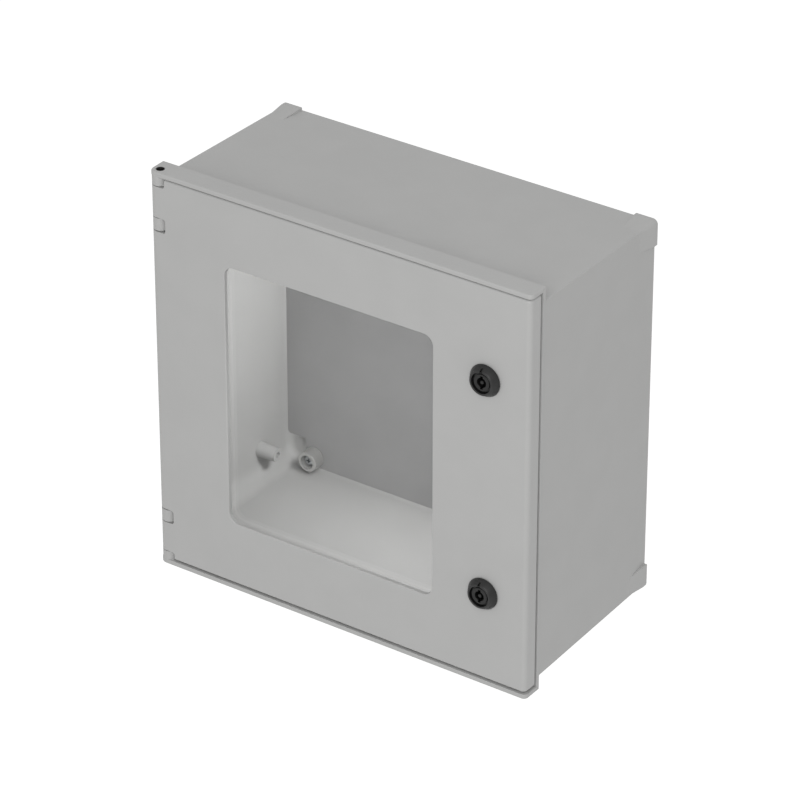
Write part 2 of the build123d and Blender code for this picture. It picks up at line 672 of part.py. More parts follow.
# Locks: the same set of pieces at two heights.
recess_floor = head_front - recess_depth
barrel_rear = cam_front + barrel_end_gap
core_front = head_front - core_front_setback
collar_rear = recess_floor + collar_gap
bore_radius = core_radius + core_bore_clearance
for place, lock_z in lock_places.items():
    lock_axis = Axis((lock_x, 0, lock_z), (0, 1, 0))
    lock_section = Plane(origin=(lock_x, 0, lock_z), x_dir=(1, 0, 0), z_dir=(0, 0, 1))
    lock_centre = (lock_x, lock_z)

    # Lock body: a cone-shaped head with a recess, on a flatted barrel
    with BuildPart() as lock_body:
        with BuildSketch(lock_section):
            with BuildLine():
                Polyline(
                    (recess_radius, -head_front),
                    (head_front_radius, -head_front),
                    (head_base_radius, -head_base),
                    (barrel_radius, -head_base),
                    (barrel_radius, -barrel_rear),
                    (bore_radius, -barrel_rear),
                    (bore_radius, -recess_floor),
                    (recess_radius, -recess_floor),
                    close=True,
                )
            make_face()
        revolve(axis=lock_axis)
        front_circles = lock_body.edges().filter_by(GeomType.CIRCLE).group_by(Axis.Y)[0]
        fillet(front_circles.sort_by(SortBy.RADIUS)[-1], head_edge_radius)
        with BuildSketch(Plane.XZ.offset(barrel_rear)):
            with Locations(lock_centre):
                Circle(head_base_radius)
                Rectangle(barrel_flats, 2 * head_base_radius, mode=Mode.SUBTRACT)
        extrude(amount=head_base - barrel_rear, mode=Mode.SUBTRACT)
        with BuildSketch(Plane.XZ.offset(head_front)):
            with BuildLine():
                Polyline(
                    (lock_x - mark_root_width / 2, lock_z),
                    (lock_x + mark_root_width / 2, lock_z),
                    (lock_x + mark_tip_width / 2, lock_z + mark_reach),
                    (lock_x - mark_tip_width / 2, lock_z + mark_reach),
                    close=True,
                )
            make_face()
        extrude(amount=-mark_depth, mode=Mode.SUBTRACT)
    finish(lock_body, f"lock_body_{place}")

    # Sealing ring under the head
    with BuildPart() as lock_seal:
        with BuildSketch(Plane.XZ.offset(front_depth)):
            with Locations(lock_centre):
                Circle(lock_seal_radius)
                Circle(barrel_radius, mode=Mode.SUBTRACT)
        extrude(amount=lock_seal_thickness)
    finish(lock_seal, f"lock_seal_{place}")

    # Nut behind the door's skin
    with BuildPart() as lock_nut:
        with BuildSketch(Plane.XZ.offset(skin_inner - nut_thickness)):
            with Locations(lock_centre):
                RegularPolygon(nut_width / 2, 6, major_radius=False)
                Circle(barrel_radius + thread_clearance, mode=Mode.SUBTRACT)
        extrude(amount=nut_thickness)
    finish(lock_nut, f"lock_nut_{place}")

    # Core: the key's socket with its pin and wing slots in front, a square behind
    with BuildPart() as lock_core:
        with BuildSketch(lock_section):
            with BuildLine():
                Polyline(
                    (0, -cam_front),
                    (core_radius, -cam_front),
                    (core_radius, -collar_rear),
                    (collar_radius, -collar_rear),
                    (collar_radius, -(collar_rear + collar_thickness)),
                    (core_radius, -(collar_rear + collar_thickness)),
                    (core_radius, -core_front),
                    (0, -core_front),
                    close=True,
                )
            make_face()
        revolve(axis=lock_axis)
        with BuildSketch(Plane.XZ.offset(core_front)):
            with Locations(lock_centre):
                Circle(socket_radius)
        extrude(amount=-socket_depth, mode=Mode.SUBTRACT)
        with BuildSketch(Plane.XZ.offset(core_front)):
            with Locations(lock_centre):
                Rectangle(wing_width, wing_span)
        extrude(amount=-wing_depth, mode=Mode.SUBTRACT)
        with BuildSketch(Plane.XZ.offset(core_front - socket_depth)):
            with Locations(lock_centre):
                Circle(key_pin_radius)
        extrude(amount=socket_depth - key_pin_setback)
        with BuildSketch(Plane.XZ.offset(cam_rear)):
            with Locations(lock_centre):
                Rectangle(square_size, square_size)
        extrude(amount=cam_thickness)
        with BuildSketch(Plane.XZ.offset(cam_rear)):
            with Locations(lock_centre):
                Circle(cam_screw_radius + thread_clearance)
        extrude(amount=cam_screw_length, mode=Mode.SUBTRACT)
    finish(lock_core, f"lock_core_{place}")

    # Cam: points up when unlocked, and a quarter turn puts its tip behind the keeper
    with BuildPart() as lock_cam:
        with BuildSketch(Plane.XZ.offset(cam_rear)) as cam_outline:
            with Locations((lock_x, lock_z + cam_length / 2)):
                Rectangle(cam_width, cam_length)
            fillet(cam_outline.vertices().group_by(Axis.Z)[-1], cam_tip_radius)
            with Locations(lock_centre):
                Circle(cam_hub_radius)
                square_hole = square_size + 2 * square_clearance
                Rectangle(square_hole, square_hole, mode=Mode.SUBTRACT)
        extrude(amount=cam_thickness)
    finish(lock_cam, f"lock_cam_{place}")

    # Washer and hexagon screw that hold the cam
    with BuildPart() as cam_washer:
        with BuildSketch(Plane.XZ.offset(cam_rear - washer_thickness)):
            with Locations(lock_centre):
                Circle(washer_radius)
                Circle(cam_screw_radius + screw_clearance, mode=Mode.SUBTRACT)
        extrude(amount=washer_thickness)
    finish(cam_washer, f"cam_washer_{place}")

    with BuildPart() as cam_screw:
        with BuildSketch(Plane.XZ.offset(cam_rear - washer_thickness - cam_screw_head)):
            with Locations(lock_centre):
                RegularPolygon(cam_screw_head_width / 2, 6, major_radius=False)
        extrude(amount=cam_screw_head)
        with BuildSketch(Plane.XZ.offset(cam_rear - washer_thickness)):
            with Locations(lock_centre):
                Circle(cam_screw_radius)
        extrude(amount=cam_screw_length)
    finish(cam_screw, f"cam_screw_{place}")
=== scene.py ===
# %% [markdown]
# A wall-mount enclosure with a glazed door. The real box is hot-pressed from glass-fibre
# polyester, and its solids come from the frame, with their true sizes. What is left for
# Blender is how each surface looks, and the shapes that only show close up or with the
# door open: threads, chamfers, rounded edges, the locks' moulded parts and the skin of a
# foamed gasket.

# %% Load the frame
import bpy
import json
import math
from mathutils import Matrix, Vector

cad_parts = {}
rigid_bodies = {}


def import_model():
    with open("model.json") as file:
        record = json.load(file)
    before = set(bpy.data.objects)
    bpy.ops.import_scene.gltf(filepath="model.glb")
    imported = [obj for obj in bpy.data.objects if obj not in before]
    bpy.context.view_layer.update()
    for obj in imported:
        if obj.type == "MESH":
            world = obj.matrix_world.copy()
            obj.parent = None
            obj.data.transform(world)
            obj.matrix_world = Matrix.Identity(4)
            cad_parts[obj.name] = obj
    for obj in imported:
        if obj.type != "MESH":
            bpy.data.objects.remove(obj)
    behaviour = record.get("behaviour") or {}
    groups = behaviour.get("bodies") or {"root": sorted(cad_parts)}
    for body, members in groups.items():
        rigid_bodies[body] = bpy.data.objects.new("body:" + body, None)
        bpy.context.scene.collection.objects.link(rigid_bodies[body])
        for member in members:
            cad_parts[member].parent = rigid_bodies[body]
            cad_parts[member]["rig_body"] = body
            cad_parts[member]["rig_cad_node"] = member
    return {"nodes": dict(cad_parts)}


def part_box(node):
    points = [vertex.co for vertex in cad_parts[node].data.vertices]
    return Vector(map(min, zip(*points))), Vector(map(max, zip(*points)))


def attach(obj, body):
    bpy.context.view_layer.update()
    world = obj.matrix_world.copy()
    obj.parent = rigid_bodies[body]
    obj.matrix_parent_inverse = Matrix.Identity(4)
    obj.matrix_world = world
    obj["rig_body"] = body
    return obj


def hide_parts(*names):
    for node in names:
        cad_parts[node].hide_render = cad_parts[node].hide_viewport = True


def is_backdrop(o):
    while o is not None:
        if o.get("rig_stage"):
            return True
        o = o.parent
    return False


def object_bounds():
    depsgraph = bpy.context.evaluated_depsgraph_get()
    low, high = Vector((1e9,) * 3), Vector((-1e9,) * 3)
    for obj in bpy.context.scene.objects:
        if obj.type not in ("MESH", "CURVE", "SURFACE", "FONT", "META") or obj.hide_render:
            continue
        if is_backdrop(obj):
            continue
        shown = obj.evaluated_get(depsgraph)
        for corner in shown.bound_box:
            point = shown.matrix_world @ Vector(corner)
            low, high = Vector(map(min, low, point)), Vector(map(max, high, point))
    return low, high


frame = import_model()
cad_low, cad_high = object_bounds()
print("solids' box:", [round(x, 4) for x in cad_low], [round(x, 4) for x in cad_high])

# %% [markdown]
# Colours are written as sRGB hex values, as a colour picker shows them, but a shader works
# with linear light, so one function turns them. A second small function adds a node with
# its settings, its numbers and its links in one call, so that each material below reads as
# a list of what it is made of. A number stands on the shader's own socket.

# %% Colour and node helpers
MM = 0.001


def linear(code):
    """The linear colour of a hex value such as "#afafaf"."""
    colour = []
    for start in (1, 3, 5):
        channel = int(code[start:start + 2], 16) / 255
        if channel <= 0.04045:
            colour.append(channel / 12.92)
        else:
            colour.append(((channel + 0.055) / 1.055) ** 2.4)
    return (*colour, 1.0)


def add(tree, kind, inputs, **settings):
    """Adds a node, sets it up, and fills its inputs with values or other nodes' outputs."""
    made = tree.nodes.new("ShaderNode" + kind)
    for name, value in settings.items():
        setattr(made, name, value)
    for socket, value in inputs.items():
        if isinstance(value, bpy.types.NodeSocket):
            tree.links.new(value, made.inputs[socket])
        else:
            made.inputs[socket].default_value = value
    return made


def start_material(name):
    """An empty material: itself, its node tree and its pieces' own coordinates."""
    material = bpy.data.materials.new(name)
    material.use_nodes = True
    material.node_tree.nodes.clear()
    place = add(material.node_tree, "TexCoord", {}).outputs["Object"]
    return material, material.node_tree, place


def finish_material(tree, shader):
    """Sends a shader to the material's output."""
    add(tree, "OutputMaterial", {"Surface": shader})


def blend_colours(tree, factor, first, second, start=0.35, end=0.65):
    """A colour that goes from first to second as factor goes from start to end."""
    ramp = add(tree, "ValToRGB", {"Fac": factor})
    for stop, position, code in zip(ramp.color_ramp.elements, (start, end), (first, second)):
        stop.position = position
        stop.color = linear(code)
    return ramp.outputs["Color"]


print("mid grey, linear:", [round(c, 3) for c in linear("#808080")])

# %% [markdown]
# Pressed polyester has a fine, even grain from the eroded steel mould, a very slight
# waviness where the resin shrank between the fibres, and faint paler and darker clouds
# where glass and resin are mixed unevenly. Three noises of different sizes make those, each
# with a scale worked out from its size in millimetres. The real grain is about 0.3 mm, finer
# than a pixel of the render, so it is drawn at 0.9 mm.
#
# The bores for the hinge pins look black in the photograph, from the shade deep in narrow
# holes. That shade is painted here: a distance from the hinge's axis picks out their walls,
# and takes the colour down there.

# %% Pressed glass-fibre polyester
GRAIN = 0.9 * MM
WAVES = 9 * MM
CLOUDS = 40 * MM
GRAIN_HEIGHT = 0.03 * MM
WAVE_HEIGHT = 0.1 * MM
SHINE_DRIFT = 0.06  # how far the roughness strays to either side
BORE_CLEARANCE = 0.6 * MM  # how far round a pin its bore is searched for
# painted shade: the bores' walls are darkened to this share of their colour's brightness
PAINTED_BORE_SHADE = 0.03  # what is left of the colour's brightness in a bore


def in_the_pin_bores(tree, place):
    """1 on the walls of the hinge pins' bores, otherwise 0."""
    low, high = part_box("hinge_pin_upper")
    axis = (low + high) / 2
    bore = (high.x - low.x) / 2 + BORE_CLEARANCE
    from_axis = add(tree, "VectorMath", {
        0: place, 1: (axis.x, axis.y, 0)
    }, operation="SUBTRACT")
    level = add(tree, "VectorMath", {
        0: from_axis.outputs["Vector"], 1: (1, 1, 0)
    }, operation="MULTIPLY")
    radius = add(tree, "VectorMath", {0: level.outputs["Vector"]}, operation="LENGTH")
    inside = add(tree, "Math", {
        0: radius.outputs["Value"], 1: bore
    }, operation="LESS_THAN")
    return inside.outputs["Value"]


def pressed_polyester(name, dark, pale, roughness, grain_bump=0.12):
    """A pressed moulding whose colour drifts between two close greys."""
    material, tree, place = start_material(name)
    # painted shade: the pin bores' walls are darkened to stand in for the shade deep inside
    # them
    bore_shade = in_the_pin_bores(tree, place)
    clouds = add(tree, "TexNoise", {"Vector": place, "Scale": 1 / CLOUDS, "Detail": 3.0})
    waves = add(tree, "TexNoise", {"Vector": place, "Scale": 1 / WAVES, "Detail": 1.0})
    grain = add(tree, "TexNoise", {"Vector": place, "Scale": 1 / GRAIN, "Detail": 2.0})
    shine = add(tree, "MapRange", {
        "Value": grain.outputs["Fac"],
        "To Min": roughness - SHINE_DRIFT,
        "To Max": roughness + SHINE_DRIFT,
    })
    wavy = add(tree, "Bump", {
        "Height": waves.outputs["Fac"], "Strength": 0.05, "Distance": WAVE_HEIGHT
    })
    grainy = add(tree, "Bump", {
        "Height": grain.outputs["Fac"], "Normal": wavy.outputs["Normal"],
        "Strength": grain_bump, "Distance": GRAIN_HEIGHT
    })
    bore_shade_brightness = add(tree, "MapRange", {
        "Value": bore_shade, "To Min": 1.0, "To Max": PAINTED_BORE_SHADE
    })
    colour = add(tree, "HueSaturation", {
        "Color": blend_colours(tree, clouds.outputs["Fac"], dark, pale),
        "Value": bore_shade_brightness.outputs["Result"],
    })
    shader = add(tree, "BsdfPrincipled", {
        "Base Color": colour.outputs["Color"],
        "Roughness": shine.outputs["Result"],
        "Normal": grainy.outputs["Normal"],
        "IOR": 1.5,
    })
    finish_material(tree, shader.outputs["BSDF"])
    return material


housing_polyester = pressed_polyester("pressed polyester, housing", "#afafae", "#b1b1b0", 0.5)
door_polyester = pressed_polyester("pressed polyester, door", "#afafae", "#b1b1b0", 0.45)
plate_polyester = pressed_polyester(
    "pressed polyester, mounting plate", "#8f8f8f", "#929292", 0.5, grain_bump=0.02
)
print("polyester:", housing_polyester.name, door_polyester.name, plate_polyester.name)

# %% [markdown]
# Polyamide is what the locks and the spacer bushes are moulded from. It is harder and
# shinier than the polyester, and its mould was sparked to a finer grain, so that the black
# reads as satin, with soft highlights along its edges.

# %% Moulded polyamide
SPARK_GRAIN = 0.5 * MM
SPARK_HEIGHT = 0.03 * MM


def moulded_polyamide(name, dark, pale, roughness, mirroring=0.5):
    """A small moulding with a spark-eroded skin."""
    material, tree, place = start_material(name)
    grain = add(tree, "TexNoise", {"Vector": place, "Scale": 1 / SPARK_GRAIN, "Detail": 2.0})
    shine = add(tree, "MapRange", {
        "Value": grain.outputs["Fac"], "To Min": roughness - 0.05, "To Max": roughness + 0.08
    })
    grainy = add(tree, "Bump", {
        "Height": grain.outputs["Fac"], "Strength": 0.2, "Distance": SPARK_HEIGHT
    })
    shader = add(tree, "BsdfPrincipled", {
        "Base Color": blend_colours(tree, grain.outputs["Fac"], dark, pale),
        "Roughness": shine.outputs["Result"],
        "Normal": grainy.outputs["Normal"],
        "IOR": 1.53,
        "Specular IOR Level": mirroring,
    })
    finish_material(tree, shader.outputs["BSDF"])
    return material


lock_polyamide = moulded_polyamide(
    "black polyamide, lock", "#141414", "#1a1a1a", 0.36, mirroring=0.36
)
core_polyamide = moulded_polyamide(
    "black polyamide, key insert", "#0f0f0f", "#151515", 0.36, mirroring=0.28
)
bush_polyamide = moulded_polyamide("light grey polyamide, bush", "#c2c2c0", "#c8c8c6", 0.42)
print("polyamide:", lock_polyamide.name, core_polyamide.name, bush_polyamide.name)

# %% [markdown]
# Screws, keepers, clips and cams are steel with a thin zinc plating. Zinc gives a bluish
# pale grey whose brightness wanders a little from crystal to crystal, and rolling leaves
# fine lines in one direction. The lines are a noise that a Mapping node stretches along one
# axis: along X for all plated pieces, along Z for the hinge pins, which are drawn and
# blackened steel, and along Y for the brass inserts, whose knurls run that way.

# %% Plated steel and turned brass
ROLLING_LINE = 0.6 * MM
LINE_HEIGHT = 0.02 * MM
ZINC_PATCH = 5 * MM
ALONG_X = (0.08, 1.0, 1.0)
ALONG_Y = (1.0, 0.1, 1.0)
ALONG_Z = (1.0, 1.0, 0.08)


def worked_metal(name, dark, pale, roughness, stretch):
    """A metal with fine lines of work and slow patches of colour."""
    material, tree, place = start_material(name)
    drawn_out = add(tree, "Mapping", {"Vector": place, "Scale": stretch})
    lines = add(tree, "TexNoise", {
        "Vector": drawn_out.outputs["Vector"], "Scale": 1 / ROLLING_LINE, "Detail": 3.0
    })
    patches = add(tree, "TexNoise", {"Vector": place, "Scale": 1 / ZINC_PATCH, "Detail": 2.0})
    shine = add(tree, "MapRange", {
        "Value": lines.outputs["Fac"], "To Min": roughness - 0.08, "To Max": roughness + 0.12
    })
    lined = add(tree, "Bump", {
        "Height": lines.outputs["Fac"], "Strength": 0.15, "Distance": LINE_HEIGHT
    })
    shader = add(tree, "BsdfPrincipled", {
        "Base Color": blend_colours(tree, patches.outputs["Fac"], dark, pale),
        "Metallic": 1.0,
        "Roughness": shine.outputs["Result"],
        "Normal": lined.outputs["Normal"],
    })
    finish_material(tree, shader.outputs["BSDF"])
    return material


zinc_steel = worked_metal("zinc-plated steel", "#b9bcbf", "#cfd2d4", 0.36, ALONG_X)
pin_steel = worked_metal("blackened steel, hinge pin", "#1b1b1c", "#262627", 0.5, ALONG_Z)
insert_brass = worked_metal("turned brass, insert", "#c9a566", "#d9b878", 0.32, ALONG_Y)
print("metals:", zinc_steel.name, pin_steel.name, insert_brass.name)

# %% [markdown]
# The window's flat gasket and the lock's sealing rings are cut from EPDM rubber sheet, a
# dull black with a faint talc bloom. The door's gasket is polyurethane foamed into its
# channel: a closed skin over small cells, so its dark grey is broken up by shallow pits a
# little under a millimetre wide.

# %% Rubber and foamed gasket
TALC_BLOOM = 3 * MM
RUBBER_CELL = 0.4 * MM
RUBBER_PIT = 0.01 * MM
FOAM_CELL = 0.9 * MM
FOAM_PIT = 0.15 * MM


def gasket_rubber(name, dark, pale, roughness, cell, pit):
    """A dull elastomer with bloom and with pits of one size and depth."""
    material, tree, place = start_material(name)
    bloom = add(tree, "TexNoise", {"Vector": place, "Scale": 1 / TALC_BLOOM, "Detail": 4.0})
    cells = add(tree, "TexVoronoi", {"Vector": place, "Scale": 1 / cell})
    pitted = add(tree, "Bump", {
        "Height": cells.outputs["Distance"], "Strength": 0.35, "Distance": pit
    })
    shader = add(tree, "BsdfPrincipled", {
        "Base Color": blend_colours(tree, bloom.outputs["Fac"], dark, pale),
        "Roughness": roughness,
        "Normal": pitted.outputs["Normal"],
        "IOR": 1.5,
    })
    finish_material(tree, shader.outputs["BSDF"])
    return material


seal_rubber = gasket_rubber("EPDM rubber", "#151515", "#1c1c1c", 0.75, RUBBER_CELL, RUBBER_PIT)
door_foam = gasket_rubber("foamed polyurethane", "#2b2b2b", "#353535", 0.9, FOAM_CELL, FOAM_PIT)
print("elastomers:", seal_rubber.name, door_foam.name)

# %% [markdown]
# The pane is clear extruded polycarbonate. It is so slightly wavy that only a sharp
# reflection would show it. A real pane throws no shadow to speak of, but a renderer finds
# light behind refracting glass only by chance, so shadow rays and diffuse rays pass
# straight through it here, and only what the eye sees is refracted.

# %% Clear polycarbonate
PANE_WAVES = 60 * MM
PANE_WAVE_HEIGHT = 0.05 * MM


def clear_sheet(name):
    """A clear extruded sheet, tinted very slightly."""
    material, tree, place = start_material(name)
    waves = add(tree, "TexNoise", {"Vector": place, "Scale": 1 / PANE_WAVES, "Detail": 1.0})
    wavy = add(tree, "Bump", {
        "Height": waves.outputs["Fac"], "Strength": 0.05, "Distance": PANE_WAVE_HEIGHT
    })
    clear = add(tree, "BsdfPrincipled", {
        "Base Color": linear("#fbfbfb"),
        "Roughness": 0.0,
        "IOR": 1.58,
        "Transmission Weight": 1.0,
        "Normal": wavy.outputs["Normal"],
    })
    straight_through = add(tree, "BsdfTransparent", {"Color": linear("#f6f6f6")})
    ray = add(tree, "LightPath", {})
    carries_light = add(tree, "Math", {
        0: ray.outputs["Is Shadow Ray"], 1: ray.outputs["Is Diffuse Ray"]
    }, operation="MAXIMUM")
    shader = add(tree, "MixShader", {
        0: carries_light.outputs["Value"],
        1: clear.outputs["BSDF"],
        2: straight_through.outputs["BSDF"],
    })
    finish_material(tree, shader.outputs["Shader"])
    return material


pane_polycarbonate = clear_sheet("clear polycarbonate")
print("pane:", pane_polycarbonate.name)

# %% [markdown]
# Each solid gets the finish of the real piece. The names of the nodes say what they are, so
# the list goes by how a name starts.

# %% Give each solid its finish
FINISHES = {
    "housing": housing_polyester,
    "mounting_plate": plate_polyester,
    "plate_bushes": bush_polyamide,
    "plate_screws": zinc_steel,
    "plate_inserts": insert_brass,
    "hinge_pin": pin_steel,
    "keeper": zinc_steel,
    "door_gasket": door_foam,
    "door": door_polyester,
    "window_pane": pane_polycarbonate,
    "window_gasket": seal_rubber,
    "window_clip": zinc_steel,
    "lock_body": lock_polyamide,
    "lock_seal": seal_rubber,
    "lock_nut": lock_polyamide,
    "lock_core": core_polyamide,
    "lock_cam": zinc_steel,
    "cam_": zinc_steel,
}


def finish_for(name):
    """The finish whose key is the longest start of this name."""
    keys = [key for key in FINISHES if name.startswith(key)]
    return FINISHES[max(keys, key=len)]


for name, node in sorted(frame["nodes"].items()):
    for slot in node.material_slots:
        slot.material = finish_for(name)
    print(name, "-", finish_for(name).name)

# %% [markdown]
# The solids of screws, nuts, locks and plates have their true sizes but plain edges. Each of
# the next pieces stands for one of those nodes, rides on the same body and keeps the same
# place, and adds what a turned, moulded or blanked piece has close up. Four small helpers
# do what a hand would do in the viewport: select one piece, apply a modifier, combine two
# meshes, and settle a finished piece.

# %% Helpers for all pieces
SAME_POINT = 0.005 * MM
SHORTEST_EDGE = 0.001 * MM
SMOOTHED_ANGLE = math.radians(30)


def pick(piece):
    """Selects one piece and nothing else."""
    bpy.ops.object.select_all(action="DESELECT")
    piece.select_set(True)
    bpy.context.view_layer.objects.active = piece


def reshape(piece, kind, **settings):
    """Gives a piece one modifier and applies it."""
    pick(piece)
    change = piece.modifiers.new(kind, kind)
    for name, value in settings.items():
        setattr(change, name, value)
    bpy.ops.object.modifier_apply(modifier=change.name)


def combine(piece, other, operation):
    """Joins, cuts or intersects a piece with another, which is used up."""
    reshape(piece, "BOOLEAN", object=other, operation=operation, solver="EXACT")
    bpy.data.objects.remove(other)


def settle(piece, node):
    """Cleans, smooths and finishes a piece, which then stands for a node on its body."""
    pick(piece)
    bpy.ops.object.transform_apply(location=True, rotation=True, scale=True)
    bpy.ops.object.mode_set(mode="EDIT")
    bpy.ops.mesh.select_all(action="SELECT")
    bpy.ops.mesh.remove_doubles(threshold=SAME_POINT)
    bpy.ops.mesh.dissolve_degenerate(threshold=SHORTEST_EDGE)
    bpy.ops.object.mode_set(mode="OBJECT")
    bpy.ops.object.shade_smooth_by_angle(angle=SMOOTHED_ANGLE)
    piece.data.materials.clear()
    piece.data.materials.append(finish_for(node))
    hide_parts(node)
    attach(piece, frame["nodes"][node]["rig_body"])


# %% [markdown]
# A turned piece is one vertex, extruded along half of the piece's outline and then spun round
# an axis that points at the wall. The outline is a list of (radius, depth) points in
# millimetres, with the depth measured in front of the wall's face. A third number eases that
# corner: it becomes a short curve that begins and ends so far from it, as a tool leaves it.
#
# What isn't round is made with blocks: boxes that are joined on or cut out, and whose one
# end may be narrower, as the bottom of a recess is.

# %% Turned pieces and blocks
SEAM = 0.002 * MM  # points closer than this are one point


def eased(outline):
    """The outline with each corner that has a third number turned into a short curve."""
    points = []
    corners = zip(outline[-1:] + outline[:-1], outline, outline[1:] + outline[:1])
    for before, corner, after in corners:
        middle = Vector(corner[:2])
        if len(corner) == 2:
            points.append(middle)
            continue
        start = middle + (Vector(before[:2]) - middle).normalized() * corner[2]
        end = middle + (Vector(after[:2]) - middle).normalized() * corner[2]
        for t in (0, 1 / 3, 2 / 3, 1):
            points.append(start * (1 - t) ** 2 + middle * 2 * t * (1 - t) + end * t ** 2)
    return points


def turned(name, centre, outline, steps=48):
    """Spins an outline round the axis through centre, an (x, z) in metres."""
    points = [point * MM for point in eased(outline)]
    bpy.ops.object.select_all(action="DESELECT")
    bpy.ops.mesh.primitive_plane_add(size=MM)
    piece = bpy.context.object
    piece.name = name
    bpy.ops.object.mode_set(mode="EDIT")
    bpy.ops.mesh.select_mode(type="VERT")
    bpy.ops.mesh.merge(type="CENTER")
    bpy.ops.transform.translate(value=(centre[0], -points[0].y, centre[1] + points[0].x))
    for point, following in zip(points, points[1:]):
        step = (0, point.y - following.y, following.x - point.x)
        bpy.ops.mesh.extrude_region_move(TRANSFORM_OT_translate={"value": step})
    bpy.ops.mesh.select_all(action="SELECT")
    middle = (centre[0], 0, centre[1])
    bpy.ops.mesh.spin(steps=steps, angle=math.tau, center=middle, axis=(0, 1, 0))
    bpy.ops.mesh.select_all(action="SELECT")
    bpy.ops.mesh.remove_doubles(threshold=SEAM)
    bpy.ops.mesh.normals_make_consistent(inside=False)
    bpy.ops.object.mode_set(mode="OBJECT")
    return piece


def threaded(radius, start, end, pitch, groove):
    """Outline points of a thread between two depths, drawn as closed rings a pitch apart."""
    way = 1 if end > start else -1
    turns = int(abs(end - start) / pitch)
    points = []
    for turn in range(turns):
        crest = start + way * turn * pitch
        points.append((radius, crest))
        points.append((radius, crest + way * pitch / 8))
        points.append((radius - groove, crest + way * pitch / 2))
        points.append((radius, crest + way * pitch * 7 / 8))
    return points


def block(size, middle, towards=None, narrowed=(1, 1, 1)):
    """A box, in metres. Its face towards one side may be narrower than the rest."""
    bpy.ops.object.select_all(action="DESELECT")
    bpy.ops.mesh.primitive_cube_add(size=1, location=middle, scale=size)
    piece = bpy.context.object
    bpy.ops.object.transform_apply(location=True, rotation=True, scale=True)
    if towards:
        bpy.ops.object.mode_set(mode="EDIT")
        bpy.ops.mesh.select_mode(type="FACE")
        bpy.ops.mesh.select_all(action="DESELECT")
        bpy.ops.object.mode_set(mode="OBJECT")
        for face in piece.data.polygons:
            face.select = face.normal.dot(Vector(towards)) > 0.9
        end = [face.center.copy() for face in piece.data.polygons if face.select][0]
        bpy.ops.object.mode_set(mode="EDIT")
        bpy.ops.transform.resize(value=narrowed, center_override=end)
        bpy.ops.object.mode_set(mode="OBJECT")
    return piece


print("helpers for turned pieces and blocks are ready")

# %% [markdown]
# A lock's body is moulded with a cone-shaped head, a recess for the key insert, a pointer
# that shows whether it is locked, and a threaded barrel with two flats that stop it turning
# in the door. The spun outline gives all but the pointer and the flats, which are cut out.

# %% Lock bodies
HEAD_FRONT_RADIUS = 11.6
HEAD_BASE_RADIUS = 15.4
HEAD_HEIGHT = 6.5
RECESS_RADIUS = 9.8
RECESS_DEPTH = 4.0
BARREL_RADIUS = 10.0
BARREL_FLATS = 18.6
BARREL_BORE = 8.0
BARREL_PITCH = 1.5
BARREL_GROOVE = 0.7
BARREL_CHAMFER = 0.8
FLATS_START = 0.02  # behind the head
POINTER = (5.6, 1.8, 13.6, 3.0)  # width at the middle, width at the tip, reach, depth
DOOR_SKIN = 4.0
SEAL_THICKNESS = 1.0


def lock_places():
    """For each lock: its word, its axis (x, z), and the depths of its body's rear and front."""
    for word in ("upper", "lower"):
        low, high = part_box("lock_body_" + word)
        axis = ((low.x + high.x) / 2, (low.z + high.z) / 2)
        yield word, axis, -high.y / MM, -low.y / MM


for word, (x, z), rear, front in lock_places():
    base = front - HEAD_HEIGHT
    nut_face = base - SEAL_THICKNESS - DOOR_SKIN
    body = turned("lock_body_moulded_" + word, (x, z), [
        (BARREL_BORE, front - RECESS_DEPTH),
        (RECESS_RADIUS, front - RECESS_DEPTH),
        (RECESS_RADIUS, front, 0.35),
        (HEAD_FRONT_RADIUS, front, 0.7),
        (HEAD_BASE_RADIUS, base, 0.4),
        (BARREL_RADIUS, base),
        *threaded(BARREL_RADIUS, nut_face, rear + BARREL_PITCH, BARREL_PITCH, BARREL_GROOVE),
        (BARREL_RADIUS, rear + BARREL_CHAMFER),
        (BARREL_RADIUS - BARREL_CHAMFER, rear),
        (BARREL_BORE, rear),
        (BARREL_BORE, front - RECESS_DEPTH),
    ], steps=96)
    middle_width, tip_width, reach, depth = (size * MM for size in POINTER)
    pointer = block((middle_width, 2 * depth, reach), (x, -front * MM, z + reach / 2),
                    towards=(0, 0, 1), narrowed=(tip_width / middle_width, 1, 1))
    combine(body, pointer, "DIFFERENCE")
    length = (base - rear) * MM
    beside = (BARREL_FLATS + BARREL_RADIUS) / 2 * MM
    behind = -base * MM + length / 2 + FLATS_START * MM
    for side in (-1, 1):
        flat = block((BARREL_RADIUS * MM, length, 4 * BARREL_RADIUS * MM),
                     (x + side * beside, behind, z))
        combine(body, flat, "DIFFERENCE")
    settle(body, "lock_body_" + word)
    print(body.name, len(body.data.polygons), "faces")

# %% [markdown]
# The insert turns inside the body. A key reaches over the pin in the middle of its socket,
# and the two wing slots take the key's bits. Its edges are eased, so that the rim of the
# socket and the pin catch a little light even though everything here is black.

# %% Key inserts
CORE_SETBACK = 1.2  # behind the front of the head
CORE_RADIUS = 7.95
COLLAR_RADIUS = 9.3
COLLAR_THICKNESS = 1.2
COLLAR_GAP = 0.3
SOCKET_RADIUS = 4.6
SOCKET_DEPTH = 10.0
PIN_RADIUS = 1.7
PIN_SETBACK = 0.6
WINGS = (2.6, 12.6, 7.0)  # width, span, depth
SQUARE = 8.0
CAM_THICKNESS = 3.0
CAM_SCREW_HOLE = 2.55
CAM_SCREW_LENGTH = 12.0
OVERLAP = 1.0  # how far a piece reaches past the face it is joined to or cuts through

